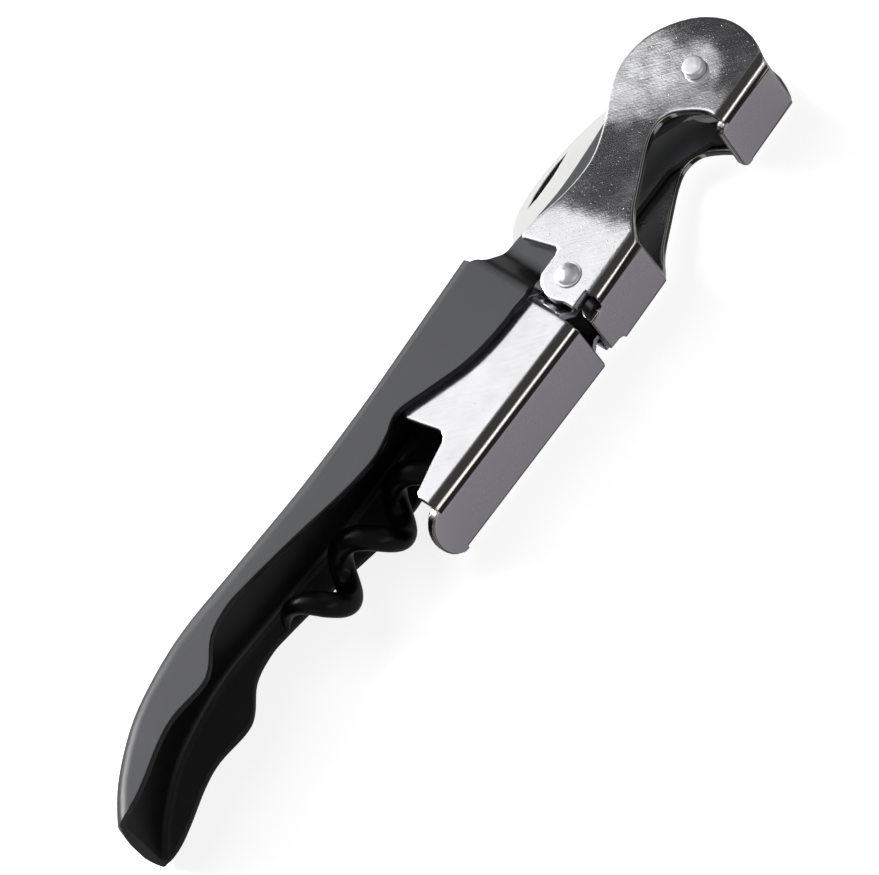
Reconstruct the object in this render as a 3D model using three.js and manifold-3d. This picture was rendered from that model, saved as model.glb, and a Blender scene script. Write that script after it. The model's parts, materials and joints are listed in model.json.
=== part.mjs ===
// A double-hinged lever corkscrew, folded shut and lying on its side. Millimetres.
// While it is drawn, the head pivot is at x = 0, y = 0. The tail of the handle points to -X, the handle's
// back to +Y, the levers' webs to -Y, and every pivot runs along Z. Both sides mirror about z = 0.
// At the end the group is moved so that it rests on z = 0 with its box centred over the origin.
import * as THREE from "three";
import { mergeVertices } from "three/addons/utils/BufferGeometryUtils.js";
import Module from "manifold-3d";

const wasm = await Module();
wasm.setup();

// ---- clearances ----
const NEST_GAP = 0.3; // between two pieces that lie side by side
const BORE_GAP = 0.1; // round a shaft in its hole, on the radius
const SEAT_GAP = 0.05; // under a rivet's head

// ---- pivots, from the head pivot ----
const KNUCKLE_X = -30.3;
const KNUCKLE_Y = -3.5;
const WORM_SETBACK = 3.2; // from the handle's shoulder back to the worm's pin
const WORM_PIVOT_Y = 2.2;

// ---- levers: channels of folded, polished sheet ----
const LEVER_WIDTH = 11.8; // over both side plates
const LEVER_SHEET = 1.2;
const LEVER_FOLD = 0.7; // inner radius of the fold
const LEVER_DEPTH = 24; // more than any side plate is deep, and trimmed to its outline

// ---- upper lever ----
const UPPER_WEB = 7.65; // from the head pivot to the outer face of the web
const UPPER_TILT = 2.3; // of that web, in degrees
const HOOK_REACH = 5.0; // from the head pivot to the hook's outer end
const HOOK_LENGTH = 8.9; // of the hook along the lever
const HOOK_LIP = 1.5; // the hook's web stands out this far past its side plates
const LIP_CORNER = 1.0; // radius of the lip's corners
const MOUTH_LENGTH = 18.4; // from the hook's side plates to the heel
const UPPER_OVERHANG = 3.2; // from the knuckle to the end of the web
const TAB_RADIUS = 3.7; // of the side plates round the knuckle rivet
const NOTCH_WIDTH = 2.4; // relief at each corner of the web's end
const NOTCH_LENGTH = 2.3;

// ---- lower lever ----
const LOWER_SETBACK = 4.6; // from the knuckle to the start of the web
const LOWER_LENGTH = 28.4; // of the side plates
const TONGUE = 2.8; // the web's round end past the side plates
const TONGUE_INSET = 0.85; // of its shoulders from the side plates' outer faces
const STEP_CORNER = 1.0; // radius of the corners of the bottle steps
const LUG_RADIUS = 2.9;
const LUG_STEP = 2.4; // length over which each side steps in to its lug
const LUG_STEP_LEAD = 0.7; // of which this much lies past the start of the web

// ---- handle: a channel of folded, painted sheet ----
const HANDLE_SHEET = 1.0;
const HANDLE_FOLD = 1.2; // inner radius of the fold
const SHOULDER_X = -35.4; // where the spine starts
const GRIP_LENGTH = 81.6; // from the shoulder to the tail
const JOGGLE_LENGTH = 4.9; // over which each side steps inwards to its ear
const JOGGLE_RISE = 0.3; // its back edge starts this far up the fold
const EAR_BACK_Y = 6.8; // the ears' edge towards the handle's back
const EAR_WAIST_Y = 6.2; // where that edge dips between the pivots
const EAR_FRONT_Y = 0.45; // and their edge towards the levers' webs
const EAR_END_RADIUS = 5.2; // round the head pivot
const EAR_TAPER = 10.5; // from the head pivot to where the ears have their full width
const TAIL_BULGE = 1.1; // the middle of the tail's end stands out past its corners
const LAP = 0.6; // two stretches of one sheet run into each other by this

// ---- rivets ----
const HEAD_RIVET_SHAFT = 2.3;
const HEAD_RIVET_RIM = 0.3; // its head stands out this far round the shaft
const HEAD_RIVET_RISE = 1.1;
const HEAD_RIVET_CROWN = 0.35; // radius of the head's edge
const KNUCKLE_RIVET_SHAFT = 2.5;
const KNUCKLE_RIVET_RIM = 0.5;
const KNUCKLE_RIVET_RISE = 1.0;
const KNUCKLE_RIVET_CROWN = 0.85;
const WORM_PIN_SHAFT = 2.4;
const WORM_PIN_CHAMFER = 0.2;
const PIN_SINK = 0.35; // the worm's pin ends this far under the painted face

// ---- knife ----
const BLADE_THICKNESS = 1.2;
const BLADE_TIP_GAP = 4.2; // from the point to the handle's shoulder
const TANG_RADIUS = 4.0;
const NICK_LENGTH = 9.0;
const NICK_WIDTH = 0.6; // at its middle, and it runs to a point at each end
const NICK_DEPTH = 0.35;
const NICK_FROM_TIP = 10.9;
const NICK_Y = 11.0;
const NICK_LEAN = 2.9; // of the nail nick, in degrees
const TOOTH_PITCH = 1.1;
const TOOTH_DEPTH = 0.35;
const KNIFE_SPACER_WALL = 1.4;

// ---- worm, from its own pin ----
const WIRE = 3.2;
const COIL_RADIUS = 2.45; // to the middle of the wire
const PITCH = 10.35;
const WORM_REACH = 45.9; // to the tip, along the handle
const SHANK_LENGTH = 7.8; // to the first coil
const AXIS_SLOPE = 0.045; // of the coils towards the handle's back, per mm towards the tail
const AXIS_DROP = 4.1; // from the pin down to the coils' axis
const TIP_ANGLE = -30; // round the coils' axis, in degrees
const OPENING_TURN = 0.6; // turns over which the first coil opens out of the shank
const POINT_TURN = 0.45; // turns over which the last coil tapers to its point
const POINT_SHARE = 0.12; // of the wire's thickness that the point keeps
const WORM_SPACER_WALL = 0.8;

// ---- worked out ----
const leverBend = LEVER_FOLD + LEVER_SHEET;
const handleBend = HANDLE_FOLD + HANDLE_SHEET;
const leverOut = LEVER_WIDTH / 2;
const leverIn = leverOut - LEVER_SHEET;
const wallIn = leverOut + NEST_GAP; // the handle's walls stand outside the levers
const wallOut = wallIn + HANDLE_SHEET;
const earOut = leverIn - NEST_GAP; // and its ears inside the upper lever
const earIn = earOut - HANDLE_SHEET;
const lugOut = leverIn - NEST_GAP; // so do the lower lever's lugs
const lugIn = lugOut - LEVER_SHEET;
const mouthX = HOOK_REACH - HOOK_LENGTH;
const kneeX = mouthX - MOUTH_LENGTH;
const upperEndX = KNUCKLE_X - UPPER_OVERHANG;
const lowerStartX = KNUCKLE_X - LOWER_SETBACK;
const lowerEndX = lowerStartX - LOWER_LENGTH;
const wormPivotX = SHOULDER_X - WORM_SETBACK;
const joggleEndX = SHOULDER_X + JOGGLE_LENGTH;
const bladeTipX = SHOULDER_X + BLADE_TIP_GAP;
const tilt = THREE.MathUtils.degToRad(UPPER_TILT);
// The lower lever's web continues the upper one's from where that ends.
const lowerWebY = (upperEndX * Math.sin(tilt) - UPPER_WEB) / Math.cos(tilt);

const boreOf = (shaft) => shaft / 2 + BORE_GAP;
const V2 = (x, y) => new THREE.Vector2(x, y);
const V3 = (x, y, z) => new THREE.Vector3(x, y, z);

// ---- solids ----
function closed(positions, faces) {
  return new wasm.Manifold(
    new wasm.Mesh({
      numProp: 3,
      vertProperties: new Float32Array(positions),
      triVerts: new Uint32Array(faces),
    }),
  );
}

function solid(geometry) {
  const g = geometry.index ? geometry.toNonIndexed() : geometry;
  g.deleteAttribute("normal");
  g.deleteAttribute("uv");
  const merged = mergeVertices(g, 1e-4);
  return closed(merged.attributes.position.array, merged.index.array);
}

const extruded = (shape, depth) => {
  return new THREE.ExtrudeGeometry(shape, { depth, bevelEnabled: false, curveSegments: 20 });
};

// A closed outline in x and y, as a plate from z = low to z = high.
const plate = (points, low, high) => {
  return solid(extruded(new THREE.Shape(points), high - low).translate(0, 0, low));
};

// A closed outline in y and z, run along x from low to high.
function run(points, low, high) {
  const turn = new THREE.Matrix4().makeBasis(V3(0, 1, 0), V3(0, 0, 1), V3(1, 0, 0));
  return solid(extruded(new THREE.Shape(points), high - low).applyMatrix4(turn).translate(low, 0, 0));
}

// A closed outline in x and z, as a sheet whose faces lie at y = low and y = high.
const sheet = (points, low, high) => {
  return solid(extruded(new THREE.Shape(points), high - low).rotateX(Math.PI / 2).translate(0, high, 0));
};

// A closed outline in radius and height, turned about z.
const turned = (points) => solid(new THREE.LatheGeometry(points, 24).rotateX(Math.PI / 2));

// A skin over rings of points, closed by a flat cap at each end. The caps' triangles come from the ring's
// own outline in two dimensions, anticlockwise seen from the side that the last ring faces.
function loft(rings, outline) {
  const count = outline.length;
  const last = (rings.length - 1) * count;
  const faces = [];
  for (const [a, b, c] of THREE.ShapeUtils.triangulateShape(outline, [])) {
    faces.push(a, c, b);
    faces.push(last + a, last + b, last + c);
  }
  for (let r = 0; r + 1 < rings.length; r++) {
    for (let i = 0; i < count; i++) {
      const j = (i + 1) % count;
      const low = r * count;
      const high = low + count;
      faces.push(low + i, low + j, high + j);
      faces.push(low + i, high + j, high + i);
    }
  }
  return closed(rings.flat().flatMap((p) => [p.x, p.y, p.z]), faces);
}

const flip = new THREE.Matrix4().makeScale(1, 1, -1);
const mirrored = (body) => body.transform(flip.elements);
const bothSides = (body) => body.add(mirrored(body));
const tilted = (body) => body.rotate([0, 0, UPPER_TILT]);
const smooth = (points, divisions) => new THREE.SplineCurve(points).getPoints(divisions);

// An arc about (x, y) from one angle to another, in degrees.
function arc(x, y, radius, from, to, steps = 8) {
  return Array.from({ length: steps + 1 }, (_, i) => {
    const angle = THREE.MathUtils.degToRad(from + ((to - from) * i) / steps);
    return V2(x + radius * Math.cos(angle), y + radius * Math.sin(angle));
  });
}

// A hole right across the part for a shaft along z.
function crossHole(x, y, shaft, halfLength = LEVER_WIDTH) {
  const drill = new THREE.CylinderGeometry(boreOf(shaft), boreOf(shaft), 2 * halfLength, 24);
  return solid(drill.rotateX(Math.PI / 2).translate(x, y, 0));
}

// The outline of a folded channel in width (first) and depth (second), open at the depth given.
function channelOutline(halfWidth, thickness, fold, depth) {
  const bend = fold + thickness;
  const side = halfWidth - bend;
  return [
    V2(-halfWidth, depth),
    ...arc(-side, bend, bend, 180, 270, 6),
    ...arc(side, bend, bend, 270, 360, 6),
    V2(halfWidth, depth),
    V2(halfWidth - thickness, depth),
    ...arc(side, bend, fold, 360, 270, 6),
    ...arc(-side, bend, fold, 270, 180, 6),
    V2(-halfWidth + thickness, depth),
  ];
}

// The space that a lever's sheet fills, along x, with the outer face of its web at webY.
function leverChannel(webY, low, high) {
  const outline = channelOutline(leverOut, LEVER_SHEET, LEVER_FOLD, LEVER_DEPTH);
  return run(outline.map((p) => V2(webY + p.y, -p.x)), low, high);
}

// One side plate that steps from one distance off the middle to another over a stretch of x. A flat
// lead before it can lap onto the sheet that it leaves.
function steppedSide(from, to, outerFrom, outerTo, thickness, edges, lead = 0) {
  const steps = 10;
  const shares = Array.from({ length: steps + 1 }, (_, i) => i / steps);
  const stations = shares.map((t) => [THREE.MathUtils.lerp(from, to, t), t]);
  const flat = lead > 0 ? [[from - lead, 0]] : [];
  const rings = [...flat, ...stations].map(([x, t]) => {
    const outer = THREE.MathUtils.lerp(outerFrom, outerTo, THREE.MathUtils.smootherstep(t, 0, 1));
    const inner = outer - thickness;
    const [low, high] = edges(t);
    return [V3(x, low, inner), V3(x, high, inner), V3(x, high, outer), V3(x, low, outer)];
  });
  return loft(rings, [V2(0, 0), V2(1, 0), V2(1, 1), V2(0, 1)]);
}

// ---- handle ----
// Both lines run from the shoulder to the tail. Each point is a share of the grip's length and a y.
const gripX = (share) => SHOULDER_X - GRIP_LENGTH * share;
const gripPoint = ([share, y]) => V2(gripX(share), y);
const BACK_LINE = [
  [0, 10.2], [0.136, 9.5], [0.277, 8.9], [0.424, 8.8], [0.559, 9.25], [0.681, 9.75], [0.755, 9.35],
  [0.835, 8.0], [0.892, 6.1], [0.946, 3.5], [0.985, 0.8], [1.003, -0.9],
].map(gripPoint);
const FREE_EDGE = [
  [-0.02, -1.1], [0.07, -1.0], [0.135, -0.15], [0.195, 1.65], [0.252, 3.35], [0.29, 2.5], [0.333, 1.9],
  [0.4, 2.5], [0.5, 4.2], [0.6, 5.55], [0.641, 5.75], [0.685, 4.9], [0.727, 2.35], [0.757, 1.7],
  [0.815, 2.2], [0.86, 1.6], [0.918, 0], [0.96, -0.8], [1.02, -0.75],
].map(gripPoint);
const freeEdge = smooth(FREE_EDGE, 90);

function gripChannel() {
  const line = new THREE.SplineCurve(BACK_LINE);
  const steps = 44;
  const legMargin = 2; // the walls are drawn deeper than the free edge that trims them
  const nearer = (x) => (best, p) => (Math.abs(p.x - x) < Math.abs(best.x - x) ? p : best);
  const rings = Array.from({ length: steps + 1 }, (_, i) => {
    const at = line.getPoint(i / steps);
    const along = line.getTangent(i / steps);
    const inwards = V2(-along.y, along.x);
    const wall = at.y - freeEdge.reduce(nearer(at.x)).y + legMargin;
    const outline = channelOutline(wallOut, HANDLE_SHEET, HANDLE_FOLD, Math.max(handleBend + 0.2, wall));
    return outline.map((p) => V3(at.x + inwards.x * p.y, at.y + inwards.y * p.y, -p.x));
  });
  return loft(rings, channelOutline(wallOut, HANDLE_SHEET, HANDLE_FOLD, handleBend + 1));
}

// One side's step from the wall in to the ear.
function joggle() {
  const spine = BACK_LINE[0].y - handleBend;
  const front = FREE_EDGE[0].y + 0.05;
  const edges = (t) => [
    THREE.MathUtils.lerp(front, EAR_FRONT_Y, THREE.MathUtils.smoothstep(t, 0.15, 0.65)),
    THREE.MathUtils.lerp(spine, EAR_BACK_Y, THREE.MathUtils.smoothstep(t, 0, 0.36)) +
      JOGGLE_RISE * Math.max(0, 1 - t * 4),
  ];
  return steppedSide(SHOULDER_X, joggleEndX, wallOut, earOut, HANDLE_SHEET, edges, LAP);
}

function ear() {
  const waist = (share, y) => V2(KNUCKLE_X * share, y); // between the two pivots
  const back = smooth(
    [
      V2(-EAR_TAPER, EAR_BACK_Y + 0.3), waist(0.495, EAR_WAIST_Y + 0.4), waist(0.68, EAR_WAIST_Y),
      waist(0.84, EAR_WAIST_Y + 0.2), V2(joggleEndX, EAR_BACK_Y),
    ],
    16,
  );
  const outline = [
    V2(joggleEndX - LAP, EAR_FRONT_Y),
    V2(-EAR_TAPER, EAR_FRONT_Y),
    ...arc(0, 0, EAR_END_RADIUS, 203, 450, 20),
    ...back,
    V2(joggleEndX - LAP, EAR_BACK_Y),
  ];
  return plate(outline, earIn, earOut);
}

// The space that the channel may fill: it ends square at the shoulder, and in an arc across the spine
// at the tail.
function gripLimit(far) {
  const radius = (wallOut * wallOut + TAIL_BULGE * TAIL_BULGE) / (2 * TAIL_BULGE);
  const half = THREE.MathUtils.radToDeg(Math.asin(wallOut / radius));
  const end = arc(Math.min(...BACK_LINE.map((p) => p.x)) + radius, 0, radius, 180 - half, 180 + half, 12);
  const [corner] = end;
  const outline = [
    V2(SHOULDER_X, far), V2(corner.x, far), ...end, V2(corner.x, -far), V2(SHOULDER_X, -far),
  ];
  return sheet(outline, -far, far);
}

function handle() {
  const far = GRIP_LENGTH;
  const shoulderEdge = freeEdge[0];
  const tailEdge = freeEdge[freeEdge.length - 1];
  const trim = [V2(tailEdge.x, far), ...freeEdge.slice().reverse(), V2(shoulderEdge.x, far)];
  return gripChannel()
    .intersect(plate(trim, -far, far))
    .intersect(gripLimit(far))
    .add(bothSides(joggle()))
    .add(bothSides(ear()))
    .subtract(crossHole(0, 0, HEAD_RIVET_SHAFT))
    .subtract(crossHole(wormPivotX, WORM_PIVOT_Y, WORM_PIN_SHAFT, wallOut - PIN_SINK + BORE_GAP));
}

// ---- upper lever: turns on the head rivet and carries the hook of the cap lifter ----
function upperSide() {
  const below = -LEVER_DEPTH;
  const fromKnuckle = (x, y) => V2(KNUCKLE_X + x, KNUCKLE_Y + y);
  const neck = (share, y) => V2(KNUCKLE_X * share, y); // between the two pivots
  const dome = smooth(
    [
      fromKnuckle(3.4, 9.1), neck(0.71, 4.35), neck(0.545, 4.25), neck(0.396, 5.8), neck(0.25, 8.35),
      V2(-3.4, 9.5), V2(1.2, 8.6), V2(5.4, 5.3), V2(7.5, 1), V2(7.2, -3.5), V2(HOOK_REACH, -7.4),
    ],
    40,
  );
  const arch = smooth(
    [
      V2(mouthX, -6.6), V2(mouthX - 0.15, -4.9), V2(mouthX - 1, -3.1), V2(mouthX - 2.6, -1.1),
      V2(mouthX - 4.8, -0.45), V2(mouthX - 7.3, -1.1), V2(kneeX + 7, -3.2), V2(kneeX + 2.7, -5.6),
      V2(kneeX, -8.1),
    ],
    30,
  );
  return [
    fromKnuckle(1.7, 9.15),
    ...dome,
    V2(HOOK_REACH, below),
    V2(mouthX, below),
    ...arch,
    V2(kneeX, below),
    V2(upperEndX, below),
    V2(upperEndX, KNUCKLE_Y - 1.9),
    ...arc(KNUCKLE_X, KNUCKLE_Y, TAB_RADIUS, 205, 115, 10),
    fromKnuckle(1.3, 3.4),
    fromKnuckle(2.2, 3.7),
    fromKnuckle(1.1, 8.6),
    fromKnuckle(1.2, 9),
  ];
}

// The rounded lip of the hook's web, past its side plates. Its root runs into the flat of the web.
function hookLip() {
  const flat = leverOut - leverBend;
  const root = mouthX + LIP_CORNER;
  const centreX = mouthX - HOOK_LIP + LIP_CORNER;
  const centreZ = leverIn - LIP_CORNER;
  const outline = [
    V2(root, -flat),
    V2(root, flat),
    V2(mouthX, flat),
    V2(mouthX, leverIn),
    ...arc(centreX, centreZ, LIP_CORNER, 90, 180, 4),
    ...arc(centreX, -centreZ, LIP_CORNER, 180, 270, 4),
    V2(mouthX, -leverIn),
    V2(mouthX, -flat),
  ];
  return sheet(outline, -UPPER_WEB, -UPPER_WEB + LEVER_SHEET);
}

function cornerNotch() {
  const inner = leverOut - NOTCH_WIDTH;
  const end = upperEndX + NOTCH_LENGTH;
  const outside = 2; // past the sheet on every open side
  const outline = [
    V2(upperEndX - outside, inner),
    V2(end - 0.9, inner),
    V2(end - 0.25, inner + 0.4),
    V2(end, inner + 1.1),
    V2(end, leverOut + outside),
    V2(upperEndX - outside, leverOut + outside),
  ];
  return sheet(outline, -UPPER_WEB - outside, -UPPER_WEB + leverBend);
}

function upperLever() {
  const far = LEVER_WIDTH;
  return plate(upperSide(), -far, far)
    .intersect(tilted(leverChannel(-UPPER_WEB, upperEndX - far, far)))
    .add(tilted(hookLip()))
    .subtract(tilted(bothSides(cornerNotch())))
    .subtract(crossHole(0, 0, HEAD_RIVET_SHAFT))
    .subtract(crossHole(KNUCKLE_X, KNUCKLE_Y, KNUCKLE_RIVET_SHAFT));
}

// ---- lower lever: turns on the knuckle rivet and rests on the bottle's rim ----
function lowerSide() {
  const below = -LEVER_DEPTH;
  const fromStart = (x, height) => V2(lowerStartX - x, lowerWebY + height);
  const fromEnd = (x, height) => V2(lowerEndX + x, lowerWebY + height);
  const upperStep = fromEnd(8.4, 11.7);
  const lowerStep = fromEnd(STEP_CORNER, 2.95);
  return [
    V2(lowerStartX, below),
    fromStart(0.4, 2.85),
    fromStart(0.5, 8.25),
    ...smooth([fromStart(1.2, 8.45), fromStart(7.1, 8.65), fromEnd(14.8, 10.85), fromEnd(9.7, 12.7)], 12),
    ...arc(upperStep.x, upperStep.y, STEP_CORNER, 75, 190, 5),
    fromEnd(8.35, 6.65),
    fromEnd(8, 5.85),
    fromEnd(7.3, 5.45),
    fromEnd(4.3, 4.8),
    ...arc(lowerStep.x, lowerStep.y, STEP_CORNER, 95, 180, 5),
    V2(lowerEndX, below),
  ];
}

// The tongue's root runs into the flat of the web, between the folds.
function tongue() {
  const half = leverOut - TONGUE_INSET;
  const flat = leverOut - leverBend;
  const rootX = lowerEndX + LAP;
  const end = arc(0, 0, 1, 90, 270, 14).map((p) => V2(lowerEndX + TONGUE * p.x, half * p.y));
  const outline = [
    V2(rootX, -flat), V2(rootX, flat), V2(lowerEndX, flat), ...end, V2(lowerEndX, -flat),
  ];
  return sheet(outline, lowerWebY, lowerWebY + LEVER_SHEET);
}

function lug() {
  const low = KNUCKLE_Y - LUG_RADIUS * Math.sin(THREE.MathUtils.degToRad(70));
  const high = 2 * KNUCKLE_Y - low;
  const stepStart = lowerStartX - LUG_STEP_LEAD;
  const stepEnd = stepStart + LUG_STEP;
  const step = steppedSide(stepStart, stepEnd, leverOut, lugOut, LEVER_SHEET, () => [low, high]);
  const outline = [
    V2(stepEnd - LAP, low),
    ...arc(KNUCKLE_X, KNUCKLE_Y, LUG_RADIUS, -70, 70, 12),
    V2(stepEnd - LAP, high),
  ];
  return step.add(plate(outline, lugIn, lugOut));
}

function lowerLever() {
  const far = LEVER_WIDTH;
  return plate(lowerSide(), -far, far)
    .intersect(leverChannel(lowerWebY, lowerEndX - far, lowerStartX + far))
    .add(tongue())
    .add(bothSides(lug()))
    .subtract(crossHole(KNUCKLE_X, KNUCKLE_Y, KNUCKLE_RIVET_SHAFT));
}

// ---- rivets: turned about z ----
// Half an outline from the middle plane up, continued below it.
const mirroredOutline = (half) => [...half.map((p) => V2(p.x, -p.y)).reverse(), ...half];

// A shaft through both side plates of a lever, with a head outside each.
function rivet(shaft, rim, rise, crown) {
  const seat = leverOut + SEAT_GAP;
  const head = shaft / 2 + rim;
  const edge = arc(head - crown, seat + rise - crown, crown, 0, 90, 4);
  return turned(mirroredOutline([V2(shaft / 2, seat), V2(head, seat), ...edge, V2(0, seat + rise)]));
}

function wormPin() {
  const radius = WORM_PIN_SHAFT / 2;
  const reach = wallOut - PIN_SINK;
  const inner = radius - WORM_PIN_CHAMFER;
  return turned(mirroredOutline([V2(radius, reach - WORM_PIN_CHAMFER), V2(inner, reach), V2(0, reach)]));
}

// A loose ring that fills the space between two faces, round a shaft.
function spacer(shaft, wall, from, to) {
  const inner = boreOf(shaft);
  const outer = inner + wall;
  const low = from + NEST_GAP;
  const high = to - NEST_GAP;
  return turned([V2(inner, low), V2(outer, low), V2(outer, high), V2(inner, high), V2(inner, low)]);
}

// ---- knife: turns on the head rivet between the handle's ears ----
function knife() {
  const bladeX = (share) => bladeTipX * share;
  const back = smooth(
    [
      V2(2.2, 3.4), V2(-0.5, 5.6), V2(bladeX(0.144), 8.4), V2(bladeX(0.282), 10.5), V2(bladeX(0.468), 11.7),
      V2(bladeX(0.654), 12.15), V2(bladeX(0.811), 11.75), V2(bladeTipX + 2.5, 10.1), V2(bladeTipX, 6.9),
    ],
    36,
  );
  const edgeStart = V2(-7.2, 4.2);
  const edgeEnd = V2(bladeTipX + 1.6, 6);
  const teeth = Math.round(edgeStart.distanceTo(edgeEnd) / TOOTH_PITCH);
  const edge = Array.from({ length: teeth }, (_, i) => {
    const root = edgeEnd.clone().lerp(edgeStart, (i + 0.5) / teeth);
    return [edgeEnd.clone().lerp(edgeStart, i / teeth), V2(root.x, root.y + TOOTH_DEPTH)];
  }).flat();
  const heel = V2(-6, 2.2);
  const tang = arc(0, 0, TANG_RADIUS, 180, 400, 20);
  const half = BLADE_THICKNESS / 2;
  return plate([...back, ...edge, edgeStart, heel, ...tang], -half, half)
    .subtract(nailNick(half))
    .subtract(crossHole(0, 0, HEAD_RIVET_SHAFT));
}

// A groove for the nail, widest at its middle.
function nailNick(face) {
  const half = NICK_LENGTH / 2;
  const shares = [-1, -0.75, -0.5, -0.25, 0, 0.25, 0.5, 0.75];
  const side = shares.map((t) => V2(half * t, (NICK_WIDTH / 2) * (1 - t * t)));
  const outline = [...side, ...side.map((p) => V2(-p.x, -p.y))];
  return plate(outline, face - NICK_DEPTH, face + NICK_DEPTH)
    .rotate([0, 0, NICK_LEAN])
    .translate([bladeTipX + NICK_FROM_TIP, NICK_Y, 0]);
}

// ---- worm: one black wire, coiled, with an eye rolled round its pin, which is at x = 0, y = 0 ----
function wormPath() {
  const stepsPerTurn = 16;
  const turns = (WORM_REACH - SHANK_LENGTH) / PITCH;
  const steps = Math.round(turns * stepsPerTurn);
  const coils = Array.from({ length: steps + 1 }, (_, i) => {
    const t = i / steps;
    const x = THREE.MathUtils.lerp(-SHANK_LENGTH, -WORM_REACH, t);
    const axisY = -AXIS_DROP - AXIS_SLOPE * x;
    const turnsLeft = (1 - t) * turns;
    const angle = THREE.MathUtils.degToRad(TIP_ANGLE + 360 * turnsLeft);
    const radius = COIL_RADIUS * THREE.MathUtils.smoothstep(t * turns, -0.1, OPENING_TURN);
    const taper = Math.sqrt(Math.min(1, turnsLeft / POINT_TURN));
    return {
      centre: V3(x, axisY + radius * Math.cos(angle), radius * Math.sin(angle)),
      radius: (WIRE / 2) * Math.max(POINT_SHARE, taper),
    };
  });
  const eyeWire = V3(-boreOf(WORM_PIN_SHAFT) - WIRE / 2, 0, 0);
  return [{ centre: eyeWire, radius: WIRE / 2 }, ...coils];
}

function worm() {
  const path = wormPath();
  const outline = arc(0, 0, 1, 0, 324, 9);
  const curve = new THREE.CatmullRomCurve3(path.map(({ centre }) => centre), false, "centripetal");
  const rings = path.map(({ centre, radius }, i) => {
    const along = curve.getTangent(i / (path.length - 1));
    const across = V3(0, 0, 1).cross(along).normalize();
    const up = along.clone().cross(across);
    return outline.map((p) =>
      centre.clone().addScaledVector(across, radius * p.x).addScaledVector(up, radius * p.y),
    );
  });
  const bore = boreOf(WORM_PIN_SHAFT);
  const eye = turned(arc(bore + WIRE / 2, 0, WIRE / 2, 0, 360, 12));
  return loft(rings, outline).add(eye).subtract(crossHole(0, 0, WORM_PIN_SHAFT));
}

// ---- the assembly: one group for each body that moves, and the handle ----
const POLISHED = { color: 0xc9cbd0, roughness: 0.22, metalness: 1 };
const RIVET_STEEL = { color: 0xb4b6b8, roughness: 0.35, metalness: 1 };
const BLADE_STEEL = { color: 0xd0d2cf, roughness: 0.4, metalness: 1 };
const PAINT = { color: 0x1b1b1d, roughness: 0.45, metalness: 0.2 };
const COATING = { color: 0x121214, roughness: 0.3, metalness: 0.3 };

function piece(name, body, finish) {
  const { vertProperties, triVerts } = body.getMesh();
  const geometry = new THREE.BufferGeometry();
  geometry.setAttribute("position", new THREE.BufferAttribute(new Float32Array(vertProperties), 3));
  geometry.setIndex(new THREE.BufferAttribute(new Uint32Array(triVerts), 1));
  geometry.computeVertexNormals();
  const mesh = new THREE.Mesh(geometry, new THREE.MeshStandardMaterial(finish));
  mesh.name = name;
  return mesh;
}

function groupAt(x, y, ...children) {
  const group = new THREE.Group();
  group.position.set(x, y, 0);
  return group.add(...children);
}

const knifeSpacer = spacer(HEAD_RIVET_SHAFT, KNIFE_SPACER_WALL, BLADE_THICKNESS / 2, earIn);
const wormSpacer = spacer(WORM_PIN_SHAFT, WORM_SPACER_WALL, WIRE / 2, wallIn);
const headRivet = rivet(HEAD_RIVET_SHAFT, HEAD_RIVET_RIM, HEAD_RIVET_RISE, HEAD_RIVET_CROWN);
const knuckleRivet = rivet(
  KNUCKLE_RIVET_SHAFT, KNUCKLE_RIVET_RIM, KNUCKLE_RIVET_RISE, KNUCKLE_RIVET_CROWN,
);

const corkscrew = new THREE.Group().add(
  piece("handle_shell", handle(), PAINT),
  piece("upper_lever", upperLever(), POLISHED),
  piece("lower_lever", lowerLever(), POLISHED),
  piece("head_rivet", headRivet, RIVET_STEEL),
  piece("knife_blade", knife(), BLADE_STEEL),
  piece("knife_spacer_near", knifeSpacer, RIVET_STEEL),
  piece("knife_spacer_far", mirrored(knifeSpacer), RIVET_STEEL),
  groupAt(KNUCKLE_X, KNUCKLE_Y, piece("knuckle_rivet", knuckleRivet, RIVET_STEEL)),
  groupAt(
    wormPivotX,
    WORM_PIVOT_Y,
    piece("worm", worm(), COATING),
    piece("worm_pin", wormPin(), RIVET_STEEL),
    piece("worm_spacer_near", wormSpacer, COATING),
    piece("worm_spacer_far", mirrored(wormSpacer), COATING),
  ),
);

// The part's origin is under the middle of its box, on the surface that it lies on.
const box = new THREE.Box3().setFromObject(corkscrew);
const middle = box.getCenter(V3(0, 0, 0));
corkscrew.position.set(-middle.x, -middle.y, -box.min.z);

export default corkscrew;
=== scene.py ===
"""A double-hinged lever corkscrew, folded shut: its pieces, finishes and studio. Metres."""
import json
import math

import bmesh
import bpy
from mathutils import Matrix, Vector
from mathutils.bvhtree import BVHTree
from mathutils.kdtree import KDTree


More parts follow.
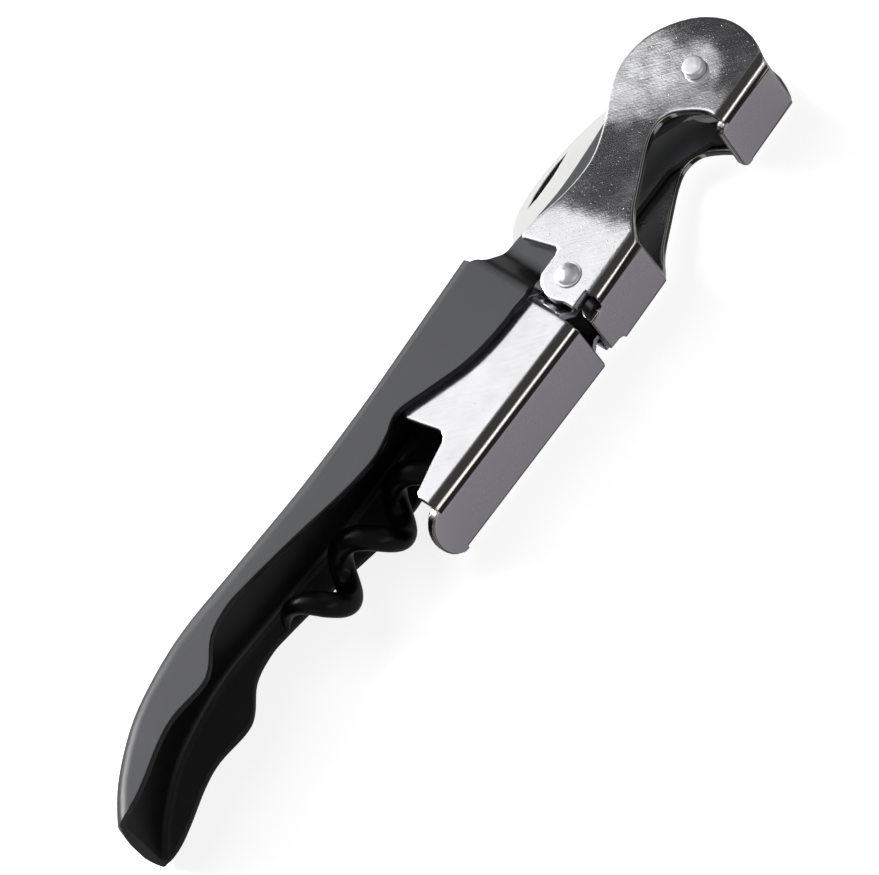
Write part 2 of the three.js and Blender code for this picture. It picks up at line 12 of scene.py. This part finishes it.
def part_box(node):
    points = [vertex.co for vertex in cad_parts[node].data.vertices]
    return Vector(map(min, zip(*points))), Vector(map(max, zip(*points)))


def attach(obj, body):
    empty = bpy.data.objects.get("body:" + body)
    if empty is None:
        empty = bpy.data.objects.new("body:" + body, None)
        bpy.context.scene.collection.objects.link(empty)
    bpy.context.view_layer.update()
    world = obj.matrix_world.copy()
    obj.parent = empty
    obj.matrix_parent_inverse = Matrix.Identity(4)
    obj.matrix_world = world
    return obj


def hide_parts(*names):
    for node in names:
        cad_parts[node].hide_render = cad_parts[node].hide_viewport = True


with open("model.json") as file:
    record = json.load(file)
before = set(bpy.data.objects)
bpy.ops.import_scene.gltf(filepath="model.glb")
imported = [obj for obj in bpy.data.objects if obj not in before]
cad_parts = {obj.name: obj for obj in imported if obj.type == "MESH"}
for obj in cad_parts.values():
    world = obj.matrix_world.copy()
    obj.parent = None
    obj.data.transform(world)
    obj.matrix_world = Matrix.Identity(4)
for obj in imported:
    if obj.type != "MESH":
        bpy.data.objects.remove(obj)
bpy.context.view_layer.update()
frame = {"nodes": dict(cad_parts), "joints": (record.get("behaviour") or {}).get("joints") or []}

scene = bpy.context.scene
MM = 0.001

# ---- view and light ----
VIEW_AZIMUTH = -14.78
VIEW_ELEVATION = 55.25
VIEW_ROLL = -40.36
VIEW_DISTANCE = 0.8
VIEW_TARGET = Vector((0.00013, -0.00064, 0.0072))
LENS = 268.63
SENSOR = 36

FLOOR = 0.8
LIFT_SEEN = 0.84  # what the floor gains towards white where the camera sees it
FLOOR_MIRRORED = 0.3  # the floor as metal mirrors it, fainter than it is
LIFT_MIRRORED = 0.26  # what it gains in that mirror in front of the corkscrew,
LIFT_BEHIND = 0.75  # and behind it,
BEHIND = (0.022, 0.05)  # from the first of these y to the second
ROOM = (0.045, 0.045, 0.046)
ROOM_MIRRORED = (0.3, 0.3, 0.305)  # the room as metal mirrors it, paler than it is
DARK_CORNER = (0.05, 0.3)  # the share of y in a direction, from the pale room to its dark corner

# ---- edges ----
LEVER_EDGE = 0.28 * MM  # radius that stamping and tumbling leave on the edges of a plated sheet
PAINT_EDGE = 0.2 * MM
BLADE_EDGE = 0.1 * MM
RING_EDGE = 0.06 * MM  # of the pin and the spacers
SHARP = math.radians(35)  # a fold's facets meet at less than this, and cut edges at more
WELD = 0.02 * MM  # vertices nearer than this are one
FLAT = math.radians(0.6)  # faces that meet at less than this are one
# A rounding has gone wrong where its vertices or the middles of its short edges leave the solid by so
# many times the radius, or where a small face of it is turned over.
LOST_VERTEX = 0.5
LOST_MIDDLE = 0.6
SHORT_EDGE = 2 * MM
SMALL_FACE = MM * MM
TURNED_OVER = -0.3  # the cosine from the solid's own normal
CORNER_REACH = 0.8 * MM  # from there to the corner that is too tight,
WIDER = 1.3  # and how many times further each next time, if no new corner is so near

# ---- plated sheet ----
SHEET = 1.2  # its thickness, in millimetres
WAVINESS = 3  # of its faces, in degrees
# The upper lever's side plates aren't quite flat. From one x to another, in millimetres, their faces
# lean towards the head by so many degrees more. Each place runs aslant, by the last number along the
# lever for each step across it.
LEANS = [
    (20, 21, -1.5, 0), (29.2, 35, 6.5, 0.2), (43.5, 47.3, -4.3, 0.6), (47, 53, -1.4, 1),
]
HEAD_LEAN = (54, 58.5, 4.4, -0.35)  # the same past the head rivet
WANDER = 3  # of these places' borders, in millimetres
RIVETED = (2.6, 4.8)  # up to the first, in millimetres from the rivet, the face is kept as it was
BRUSH_LEAN = math.radians(-45)  # of the brushing lines, from the length of the lever
BRUSHED_FROM = (18, 22)  # from this x on, in millimetres: the lower lever is smoother
ROLLOVER = 0.55  # how far stamping has turned the faces over at their edges, in millimetres
# Round a fold the share of -y in the normal grows from 0 on the plate to 1 on the web. Between the two lie
# three painted bands that stand in for the fold's reflections: painted shade, a yellowish tint on its
# highlight and darker painted shade, each faded in or out over such a range.
PAINTED_SHADE_FROM = (0.1, 0.3)
PAINTED_SHADE_TO = (0.66, 0.74)
PAINTED_HIGHLIGHT_FROM = (0.7, 0.76)
PAINTED_DARK_FROM = (0.76, 0.86)
WEB_FROM = (0.972, 0.99)

# ---- knife's nail nick, in millimetres: where it starts to sink, is sunk, starts to rise and ends ----
NICK_LENGTH = (5.5, 6, 15.6, 16.1)  # from the tip
NICK_WIDTH = (0.45, 0.6, 1.7, 2)  # from the back
NICK_SUNK = (0.04, 0.15)  # the depth at which it darkens

# ---- rivets ----
TURN_STEPS = 72
SEAT_GAP = 0.05 * MM  # between a head and the lever's plate
HEAD_SHAFT = 1.15 * MM  # radius
HEAD_CORNER = 0.35 * MM
KNUCKLE_SHAFT = 1.25 * MM  # radius
DOME_SHARE = 0.86  # of the head's radius, inside its ring
DOME_STEPS = 10
COIN_RING = 0.18 * MM  # depth of the ring that the rivet's tool presses round the dome
COIN_CORNER = 0.05 * MM
DOMED = (0.035, 0.045)  # x from the domed rivet to the flat one, which is dented less

# ---- worm, from its own pin ----
WIRE = 3.2 * MM
COIL_RADIUS = 2.45 * MM
PITCH = 10.35 * MM
WORM_REACH = 45.9 * MM
SHANK = 7.8 * MM
AXIS_SLOPE = 0.045
AXIS_DROP = 4.1 * MM
TIP_ANGLE = math.radians(-30)
OPENING_LEAD = 0.1  # turns before the end of the shank at which the coil starts to open,
OPENING_TURN = 0.6  # and after it at which it is open
POINT_TURN = 0.45  # the last part of a turn tapers to the point,
POINT_SHARE = 0.1  # whose end has this share of the wire
COIL_STEPS = 48  # to a turn
EYE_RADIUS = 2.88 * MM
EYE_START = 1.02  # in half turns, as its sweep is
EYE_SWEEP = 1.86
EYE_STEPS = 40
WIRE_SIDES = 28


# ======== shader expressions ========
# A Mix node's numbers, vectors and colours share their names, so its colours go by their places.
MIX_FIRST, MIX_SECOND, MIXED = 6, 7, 2


class Socket:
    """One value, colour or vector of a tree of nodes, with the arithmetic that values need."""

    def __init__(self, nodes, link):
        self.nodes = nodes
        self.link = link

    def _math(self, operation, *values):
        return self.nodes.node("ShaderNodeMath", {"operation": operation}, dict(enumerate(values)))

    def __add__(self, other):
        return self._math("ADD", self, other)

    def __sub__(self, other):
        return self._math("SUBTRACT", self, other)

    def __rsub__(self, other):
        return self._math("SUBTRACT", other, self)

    def __mul__(self, other):
        return self._math("MULTIPLY", self, other)

    def __truediv__(self, other):
        return self._math("DIVIDE", self, other)

    def __pow__(self, other):
        return self._math("POWER", self, other)

    __radd__ = __add__
    __rmul__ = __mul__

    def magnitude(self):
        return self._math("ABSOLUTE", self)

    def above(self, low, high):
        """0 up to low, 1 from high on, and smooth between them."""
        values = {"Value": self, "From Min": low, "From Max": high}
        return self.nodes.node("ShaderNodeMapRange", {"interpolation_type": "SMOOTHSTEP"}, values)


class Nodes:
    """A tree of nodes, and the one way to add a node to it."""

    def __init__(self, tree):
        self.tree = tree

    def node(self, kind, settings=None, values=None, out=0):
        made = self.tree.nodes.new(kind)
        for key, value in (settings or {}).items():
            setattr(made, key, value)
        for key, value in (values or {}).items():
            if isinstance(value, Socket):
                self.tree.links.new(value.link, made.inputs[key])
            else:
                made.inputs[key].default_value = value
        return Socket(self, made.outputs[out])

    def axis(self, name, source="Object"):
        """One coordinate of the place of a point in metres, of its Normal, or of a direction in the sky."""
        at = self.node("ShaderNodeTexCoord", out=source)
        return self.node("ShaderNodeSeparateXYZ", None, {"Vector": at}, out=name)

    def mix(self, factor, first, second):
        """A colour from first at factor 0 to second at factor 1."""
        colour = [c if isinstance(c, Socket) else (*c, 1) for c in (first, second)]
        values = {"Factor": factor, MIX_FIRST: colour[0], MIX_SECOND: colour[1]}
        return self.node("ShaderNodeMix", {"data_type": "RGBA"}, values, out=MIXED)


class Finish(Nodes):
    """A material and its shader."""

    def __init__(self, name, **fixed):
        self.material = bpy.data.materials.new(name)
        self.material.use_nodes = True
        super().__init__(self.material.node_tree)
        self.shader = self.tree.nodes["Principled BSDF"]
        for socket, value in fixed.items():
            self.shader.inputs[socket.replace("_", " ")].default_value = value

    def place(self, stretch=(1, 1, 1), lean=0.0):
        """Where a point of the piece is, in millimetres, turned by lean about z and then stretched."""
        at = self.node("ShaderNodeTexCoord", out="Object")
        values = {"Vector": at, "Rotation": (0, 0, lean), "Scale": tuple(s * MM for s in stretch)}
        return self.node("ShaderNodeMapping", {"vector_type": "TEXTURE"}, values)

    def noise(self, size, stretch=(1, 1, 1), detail=3.0, lean=0.0):
        """Cloudy noise with features about size millimetres across, times stretch."""
        values = {"Vector": self.place(stretch, lean), "Scale": 1 / size, "Detail": detail}
        return self.node("ShaderNodeTexNoise", None, values)

    def leaning(self, amount, rollover):
        """The normal, leant along the piece's x by the tangent of an angle, and turned over at the cut edges
        within rollover, in millimetres."""
        normal = self.node("ShaderNodeBevel", {"samples": 8}, {"Radius": rollover * MM})
        settings = {"vector_type": "VECTOR", "convert_from": "OBJECT", "convert_to": "WORLD"}
        along = self.node("ShaderNodeCombineXYZ", None, {"X": amount})
        turned = self.node("ShaderNodeVectorTransform", settings, {"Vector": along})
        leant = self.node("ShaderNodeVectorMath", {"operation": "ADD"}, {0: normal, 1: turned})
        return self.node("ShaderNodeVectorMath", {"operation": "NORMALIZE"}, {0: leant})

    def edge(self, radius):
        """1 where the surface turns over an edge within radius, in millimetres, and 0 on its flats."""
        soft = self.node("ShaderNodeBevel", {"samples": 6}, {"Radius": radius * MM})
        flat = self.node("ShaderNodeNewGeometry", out="Normal")
        dot = self.node("ShaderNodeVectorMath", {"operation": "DOT_PRODUCT"}, {0: soft, 1: flat}, out="Value")
        return (1 - dot).above(0.02, 0.2)

    def bump(self, height, depth, normal=None):
        """The normal of a relief of the given depth in millimetres, on top of another relief."""
        values = {"Height": height, "Distance": depth * MM, "Strength": 1.0}
        if normal:
            values["Normal"] = normal
        return self.node("ShaderNodeBump", None, values)

    def wear(self, **inputs):
        """Links what changes over the surface to the shader, and gives the material."""
        for socket, value in inputs.items():
            self.tree.links.new(value.link, self.shader.inputs[socket.replace("_", " ")])
        return self.material


def joint_at(name):
    return Vector(next(j for j in frame["joints"] if j["name"] == name)["pos_m"])


# ======== finishes ========
def polished_steel():
    """Bright plated sheet, with leaning places, brushing lines and pits, painted shade inside, a painted
    reflection on its webs, and three painted bands of shade and highlight along each fold.
    """
    low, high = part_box("upper_lever")  # the lower one is as deep
    middle, inner = (low.z + high.z) / 2, (high.z - low.z) / 2 / MM - SHEET
    f = Finish("polished_steel", Metallic=1.0)
    lines = f.noise(0.22, (14, 1, 1), 4, BRUSH_LEAN)
    grain = f.noise(0.3, detail=2)
    patches = f.noise(6, detail=3).above(0.42, 0.66)
    pits = (1 - f.noise(0.28, detail=1).above(0.24, 0.3)) * patches
    specks = f.noise(0.32, detail=1).above(0.67, 0.77)
    along = f.axis("X") / MM + (f.noise(5, detail=2) - 0.5) * WANDER
    across = f.axis("Y") / MM
    lean = (f.noise(2.2, detail=2) - 0.5) * math.tan(math.radians(WAVINESS))
    for start, end, angle, skew in LEANS:
        lean = lean + (along + across * skew).above(start, end) * math.tan(math.radians(angle))
    rivet = joint_at("lever_pivot") / MM
    from_rivet = ((along - rivet.x) ** 2 + (across - rivet.y) ** 2) ** 0.5
    start, end, angle, skew = HEAD_LEAN
    past = (along + across * skew).above(start, end) * from_rivet.above(*RIVETED)
    lean = lean + past * math.tan(math.radians(angle))
    plates = f.axis("Z", "Normal").magnitude().above(0.9, 0.98)
    forward = 0 - f.axis("Y", "Normal")
    web = forward.above(*WEB_FROM)
    # Painted bands along each fold stand in for its reflections: shade, a tinted highlight and darker shade.
    painted_dark_band = forward.above(*PAINTED_DARK_FROM) - web
    painted_highlight_band = forward.above(*PAINTED_HIGHLIGHT_FROM) - forward.above(*PAINTED_DARK_FROM)
    painted_shade_band = forward.above(*PAINTED_SHADE_FROM) - forward.above(*PAINTED_SHADE_TO)
    shade = f.mix(f.noise(11, detail=1).above(0.3, 0.7), (0.8, 0.795, 0.82), (0.88, 0.88, 0.9))
    # Painted reflection: the webs are painted a darker lilac, as if mirroring the shaded floor in front of
    # them.
    colour = f.mix(web, shade, (0.6, 0.565, 0.64))
    colour = f.mix(painted_highlight_band, colour, (0.72, 0.7, 0.62))
    colour = f.mix(painted_shade_band, colour, (0.13, 0.125, 0.112))
    colour = f.mix(painted_dark_band, colour, (0.035, 0.03, 0.027))
    colour = f.mix(pits * (0.55 - web * 0.45), colour, (0.3, 0.3, 0.32))
    off = (f.axis("Z") - middle).magnitude() / MM
    # Painted shade: the levers' inner faces are painted near black, and made rougher.
    inside = (1 - off.above(inner - 0.1, inner + 0.1)) * (1 - forward.above(0.02, 0.1))
    colour = f.mix(inside, colour, (0.02, 0.02, 0.021))
    brushed = (1 - web) * (0.25 + (f.axis("X") / MM).above(*BRUSHED_FROM) * 0.75)
    relief = f.bump(lines * brushed, 0.006, f.leaning(lean * plates, ROLLOVER))
    relief = f.bump(grain * brushed, 0.007, relief)
    relief = f.bump(specks * brushed, 0.009, relief)
    rough = 0.1 + lines * 0.12 + patches * 0.06 + web * 0.1 + inside * 0.15
    return f.wear(Base_Color=colour, Roughness=rough, Normal=relief)


def rivet_steel():
    """Satin rivet heads, dented a little by the riveting tool."""
    f = Finish("rivet_steel", Metallic=0.85)
    grain = f.noise(0.25, detail=3)
    dents = f.noise(0.9, detail=1) * (1 - f.axis("X").above(*DOMED) * 0.6)
    colour = f.mix(f.noise(1.1), (0.74, 0.74, 0.75), (0.92, 0.92, 0.93))
    relief = f.bump(grain, 0.006, f.bump(dents, 0.12))
    return f.wear(Base_Color=colour, Roughness=0.36 + grain * 0.16, Normal=relief)


def blade_steel():
    """A pale blade, ground matt across its length, with painted shade in its nail nick."""
    low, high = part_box("knife_blade")
    f = Finish("blade_steel", Metallic=0.3)
    grain = f.noise(0.3, (1, 14, 1), 4)
    sunk, from_back = (high.z - f.axis("Z")) / MM, (high.y - f.axis("Y")) / MM
    from_tip = (f.axis("X") - low.x) / MM
    # Painted shade: where the nail nick is sunk, the blade is painted near black.
    nick = sunk.above(*NICK_SUNK)
    for away, (start, full, leaving, end) in ((from_back, NICK_WIDTH), (from_tip, NICK_LENGTH)):
        nick = nick * (away.above(start, full) - away.above(leaving, end))
    colour = f.mix(f.noise(5), (0.9, 0.9, 0.88), (0.97, 0.97, 0.95))
    colour = f.mix(nick, colour, (0.05, 0.05, 0.05))
    return f.wear(Base_Color=colour, Roughness=0.34 + grain * 0.2, Normal=f.bump(grain, 0.004))


def black_paint():
    """Satin black paint: its flat outsides carry a painted grey sheen, and its edges wear thin in places."""
    f = Finish("black_paint", Specular_IOR_Level=0.3)
    peel = f.noise(0.7, detail=2)
    cloud = f.noise(14, detail=3)
    # Painted sheen: faces turned towards z are painted grey, as if mirroring a soft light, and the rest is
    # near black.
    painted_sheen = f.axis("Z", "Normal").magnitude().above(0.8, 0.99)
    worn = f.edge(0.5) * f.noise(1.2, detail=4).above(0.52, 0.7)
    flat = f.mix(cloud, (0.088, 0.09, 0.096), (0.108, 0.109, 0.116))
    colour = f.mix(painted_sheen, (0.006, 0.006, 0.007), flat)
    colour = f.mix(worn * 0.5, colour, (0.09, 0.065, 0.05))
    return f.wear(Base_Color=colour, Roughness=0.3 + cloud * 0.14 + worn * 0.15, Normal=f.bump(peel, 0.005))


def black_coating():
    """The worm's slippery black coating, worn matt and grey in places."""
    f = Finish("black_coating", Specular_IOR_Level=0.16)
    grain = f.noise(0.35, detail=3)
    rub = f.noise(2.4, detail=3).above(0.52, 0.75)
    colour = f.mix(rub * 0.5, (0.003, 0.003, 0.0035), (0.02, 0.02, 0.021))
    return f.wear(Base_Color=colour, Roughness=0.3 + rub * 0.14, Normal=f.bump(grain, 0.005))


FINISHES = {
    "black_paint": black_paint(),
    "polished_steel": polished_steel(),
    "rivet_steel": rivet_steel(),
    "blade_steel": blade_steel(),
    "black_coating": black_coating(),
}


# ======== pieces ========
def add_piece(name, mesh_maker, body, slot, node):
    """Turns the mesh in mesh_maker into a piece that stands for a node of the model."""
    data = bpy.data.meshes.new(name)
    mesh_maker.to_mesh(data)
    mesh_maker.free()
    data.materials.append(FINISHES[slot])
    data.shade_smooth()
    data.set_sharp_from_angle(angle=SHARP)
    made = bpy.data.objects.new(name, data)
    made.modifiers.new("even_flats", "WEIGHTED_NORMAL").keep_sharp = True
    scene.collection.objects.link(made)
    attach(made, body)
    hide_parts(node)


def whole(node):
    """The node's mesh, with the triangles of each flat face joined."""
    bm = bmesh.new()
    bm.from_mesh(frame["nodes"][node].data)
    bmesh.ops.remove_doubles(bm, verts=bm.verts, dist=WELD)
    bmesh.ops.dissolve_limit(bm, angle_limit=FLAT, verts=bm.verts, edges=bm.edges)
    bm.verts.index_update()
    return bm


def is_cut(edge):
    return edge.is_manifold and edge.calc_face_angle(0) > SHARP


def strays(bm, surface, radius):
    """The vertices where a rounding has left the surface, folded over or opened."""
    found = [v for v in bm.verts if surface.find_nearest(v.co)[3] > LOST_VERTEX * radius]
    for edge in bm.edges:
        middle = (edge.verts[0].co + edge.verts[1].co) / 2
        short = edge.calc_length() < SHORT_EDGE
        lifted = short and surface.find_nearest(middle)[3] > LOST_MIDDLE * radius
        if lifted or not edge.is_manifold:
            found += edge.verts
    for face in bm.faces:
        normal = surface.find_nearest(face.calc_center_median())[1]
        if face.calc_area() < SMALL_FACE and face.normal.dot(normal) < TURNED_OVER:
            found += face.verts
    return found


def eased(node, radius):
    """The node's solid with its cut edges rounded. Corners too tight for that stay sharp."""
    solid = whole(node)
    surface = BVHTree.FromBMesh(solid)
    slivers = {tuple(v.co) for v in strays(solid, surface, radius)}
    ends = {v for edge in solid.edges if is_cut(edge) for v in edge.verts}
    corners = KDTree(len(ends))
    for v in ends:
        corners.insert(v.co, v.index)
    corners.balance()
    tight = set()
    while True:
        bm = solid.copy()
        cut = [e for e in bm.edges if is_cut(e) and not any(v.index in tight for v in e.verts)]
        bmesh.ops.bevel(
            bm, geom=cut, offset=radius, offset_type="OFFSET", segments=3, profile=0.5,
            affect="EDGES", clamp_overlap=False,
        )
        lost = [v for v in strays(bm, surface, radius) if tuple(v.co) not in slivers]
        if not lost or len(tight) == len(ends):
            return bm
        places = [w.co.copy() for v in lost for w in (v, *(e.other_vert(v) for e in v.link_edges))]
        bm.free()
        nearest = [corners.find(place) for place in places]
        found = {index for _, index, distance in nearest if distance < CORNER_REACH}
        wide = CORNER_REACH
        while found <= tight:
            wide *= WIDER
            found = {index for place in places for _, index, _ in corners.find_range(place, wide)}
        tight |= found


def cut_sheet(node, name, body, slot, radius):
    """A sheet piece: the node's own solid with its cut edges rounded, kept inside its box."""
    bm = eased(node, radius)
    low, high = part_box(node)
    for v in bm.verts:
        v.co = [min(max(c, least), most) for c, least, most in zip(v.co, low, high)]
    add_piece(name, bm, body, slot, node)


def turned(profile, centre):
    """A solid of (radius, height) points, turned about z through centre. It starts and ends on the axis."""
    bm = bmesh.new()
    rings = []
    for radius, height in profile:
        if radius == 0:
            rings.append([bm.verts.new((centre.x, centre.y, height))])
            continue
        angles = [2 * math.pi * i / TURN_STEPS for i in range(TURN_STEPS)]
        rings.append([
            bm.verts.new((centre.x + radius * math.cos(a), centre.y + radius * math.sin(a), height))
            for a in angles
        ])
    for low, high in zip(rings, rings[1:]):
        for i in range(TURN_STEPS):
            j = (i + 1) % TURN_STEPS
            corners = [low[i % len(low)], low[j % len(low)], high[j % len(high)], high[i % len(high)]]
            bm.faces.new(list(dict.fromkeys(corners)))
    bmesh.ops.recalc_face_normals(bm, faces=bm.faces)
    return bm


def quarter(radius, top, corner, steps=6):
    """The rounded rim of a rivet's head, from its side up to its face."""
    turn = [math.pi / 2 * i / steps for i in range(steps + 1)]
    return [(radius - corner + corner * math.cos(a), top - corner + corner * math.sin(a)) for a in turn]


def both_ends(half, middle):
    """The half above the middle plane, and its mirror image below."""
    return [(r, 2 * middle - z) for r, z in reversed(half)] + half


def rivet_measures(node):
    low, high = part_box(node)
    return (low + high) / 2, (high.x - low.x) / 2, high.z


def head_rivet(seat):
    """Flat, with a rounded rim."""
    centre, radius, top = rivet_measures("head_rivet")
    half = [(HEAD_SHAFT, seat), (radius, seat), *quarter(radius, top, HEAD_CORNER), (0, top)]
    head = turned(both_ends(half, centre.z), centre)
    add_piece("head_rivet_turned", head, "handle", "rivet_steel", "head_rivet")


def knuckle_rivet(seat):
    """Domed, with a flat ring pressed round its foot."""
    centre, radius, top = rivet_measures("knuckle_rivet")
    foot = seat + COIN_RING
    dome = radius * DOME_SHARE
    rise = top - foot
    turn = [math.pi / 2 * i / DOME_STEPS for i in range(DOME_STEPS)]
    half = [
        (KNUCKLE_SHAFT, seat), (radius, seat), (radius, foot - COIN_CORNER), (radius - COIN_CORNER, foot),
        *((dome * math.cos(a), foot + rise * math.sin(a)) for a in turn), (0, top),
    ]
    head = turned(both_ends(half, centre.z), centre)
    add_piece("knuckle_rivet_turned", head, "upper_lever", "rivet_steel", "knuckle_rivet")


def worm_path(pin):
    """Points and radii along the wire: round the pin, along the shank and down the coils."""
    turns = (WORM_REACH - SHANK) / PITCH
    eye = [math.pi * (EYE_START + EYE_SWEEP * i / EYE_STEPS) for i in range(EYE_STEPS + 1)]
    round_pin = [Vector((EYE_RADIUS * math.cos(a), EYE_RADIUS * math.sin(a), 0)) for a in reversed(eye)]
    path = [(p, WIRE / 2) for p in round_pin]
    steps = round(turns * COIL_STEPS)
    for i in range(steps + 1):
        t = i / steps
        x = -(SHANK + (WORM_REACH - SHANK) * t)
        left = (1 - t) * turns
        opening = min(1, max(0, (t * turns + OPENING_LEAD) / (OPENING_TURN + OPENING_LEAD)))
        coil = COIL_RADIUS * opening * opening * (3 - 2 * opening)
        angle = TIP_ANGLE + 2 * math.pi * left
        axis = -AXIS_DROP - AXIS_SLOPE * x
        taper = max(POINT_SHARE, math.sqrt(min(1, left / POINT_TURN)))
        path.append((Vector((x, axis + coil * math.cos(angle), coil * math.sin(angle))), WIRE / 2 * taper))
    return [(pin + p, r) for p, r in path]


def swept_wire(path):
    """A round wire along a path, closed at both ends. Its section doesn't twist."""
    bm = bmesh.new()
    across = None
    angles = [2 * math.pi * k / WIRE_SIDES for k in range(WIRE_SIDES)]
    rings = []
    for i, (at, radius) in enumerate(path):
        along = (path[min(i + 1, len(path) - 1)][0] - path[max(i - 1, 0)][0]).normalized()
        across = along.orthogonal().normalized() if across is None else across
        across = (across - along * across.dot(along)).normalized()
        other = along.cross(across)
        spokes = [(math.cos(a) * across + math.sin(a) * other) for a in angles]
        rings.append([bm.verts.new(at + radius * spoke) for spoke in spokes])
    for low, high in zip(rings, rings[1:]):
        for k in range(WIRE_SIDES):
            n = (k + 1) % WIRE_SIDES
            bm.faces.new((low[k], low[n], high[n], high[k]))
    bm.faces.new(list(reversed(rings[0])))
    bm.faces.new(rings[-1])
    return bm


def plain_ring(node, body, slot):
    """A spacer or pin: the node's solid with its edges broken."""
    cut_sheet(node, node + "_eased", body, slot, RING_EDGE)


def make_corkscrew():
    cut_sheet("handle_shell", "handle_folded", "handle", "black_paint", PAINT_EDGE)
    cut_sheet("upper_lever", "upper_lever_folded", "upper_lever", "polished_steel", LEVER_EDGE)
    cut_sheet("lower_lever", "lower_lever_folded", "lower_lever", "polished_steel", LEVER_EDGE)
    cut_sheet("knife_blade", "knife_ground", "knife", "blade_steel", BLADE_EDGE)
    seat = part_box("upper_lever")[1].z + SEAT_GAP
    head_rivet(seat)
    knuckle_rivet(seat)
    path = worm_path(joint_at("worm_pivot"))
    add_piece("worm_coiled", swept_wire(path), "worm", "black_coating", "worm")
    for side in ("near", "far"):
        plain_ring("knife_spacer_" + side, "handle", "rivet_steel")
        plain_ring("worm_spacer_" + side, "handle", "black_coating")
    plain_ring("worm_pin", "handle", "rivet_steel")


# ======== floor, light and camera ========
def floor_white():
    """A pale floor that keeps its shadows, and is lifted to white where it is seen."""
    f = Finish("floor_white", Roughness=0.9, Emission_Strength=1.0)
    seen, mirrored, through = (
        f.node("ShaderNodeLightPath", out=f"Is {ray} Ray") for ray in ("Camera", "Glossy", "Transmission")
    )
    lift = f.mix(seen + through, (0, 0, 0), (LIFT_SEEN,) * 3)
    behind = f.axis("Y").above(*BEHIND)
    return f.wear(
        Base_Color=f.mix(mirrored, (FLOOR,) * 3, (FLOOR_MIRRORED,) * 3),
        Emission_Color=f.mix(mirrored, lift, f.mix(behind, (LIFT_MIRRORED,) * 3, (LIFT_BEHIND,) * 3)),
    )


def floor():
    bm = bmesh.new()
    bmesh.ops.create_grid(bm, x_segments=1, y_segments=1, size=3)
    data = bpy.data.meshes.new("floor")
    bm.to_mesh(data)
    bm.free()
    data.materials.append(floor_white())
    made = bpy.data.objects.new("floor", data)
    scene.collection.objects.link(made)


def lamp(name, at, size, watts):
    data = bpy.data.lights.new(name, "AREA")
    data.shape = "RECTANGLE"
    data.size, data.size_y = size
    data.energy = watts
    made = bpy.data.objects.new(name, data)
    made.location = at
    made.rotation_mode = "QUATERNION"
    made.rotation_quaternion = (VIEW_TARGET - Vector(at)).to_track_quat("-Z", "Y")
    scene.collection.objects.link(made)


def sky():
    """A dim room. Metal mirrors a paler one, except in its dark corner behind the corkscrew."""
    world = bpy.data.worlds.new("studio")
    world.use_nodes = True
    room = Nodes(world.node_tree)
    mirrored = room.node("ShaderNodeLightPath", out="Is Glossy Ray")
    pale = mirrored * (1 - room.axis("Y", "Generated").above(*DARK_CORNER))
    colour = room.mix(pale, ROOM, ROOM_MIRRORED)
    room.tree.links.new(colour.link, room.tree.nodes["Background"].inputs["Color"])
    scene.world = world


def camera():
    azimuth, elevation, roll = (math.radians(a) for a in (VIEW_AZIMUTH, VIEW_ELEVATION, VIEW_ROLL))
    back = Vector((
        math.sin(azimuth) * math.cos(elevation),
        -math.cos(azimuth) * math.cos(elevation),
        math.sin(elevation),
    ))
    level = Vector((math.cos(azimuth), math.sin(azimuth), 0))
    top = back.cross(level)
    right = math.cos(roll) * level + math.sin(roll) * top
    up = -math.sin(roll) * level + math.cos(roll) * top
    data = bpy.data.cameras.new("camera")
    data.lens = LENS
    data.sensor_width = SENSOR
    data.clip_start = 0.05
    made = bpy.data.objects.new("camera", data)
    made.matrix_world = Matrix.Translation(VIEW_TARGET + VIEW_DISTANCE * back) @ Matrix(
        (right, up, back)
    ).transposed().to_4x4()
    scene.collection.objects.link(made)
    scene.camera = made


camera()
sky()
floor()
lamp("key", (-0.35, 1.0, 0.62), (0.6, 0.6), 18)
lamp("panel", (-0.15, 0.55, 0.82), (0.8, 0.7), 1.95)
lamp("front_strip", (0.15, -0.93, 0.42), (0.9, 0.2), 1.1)
lamp("back_strip", (-0.2, 0.95, 0.24), (1.2, 0.5), 2.4)
make_corkscrew()
scene.view_settings.view_transform = "Standard"
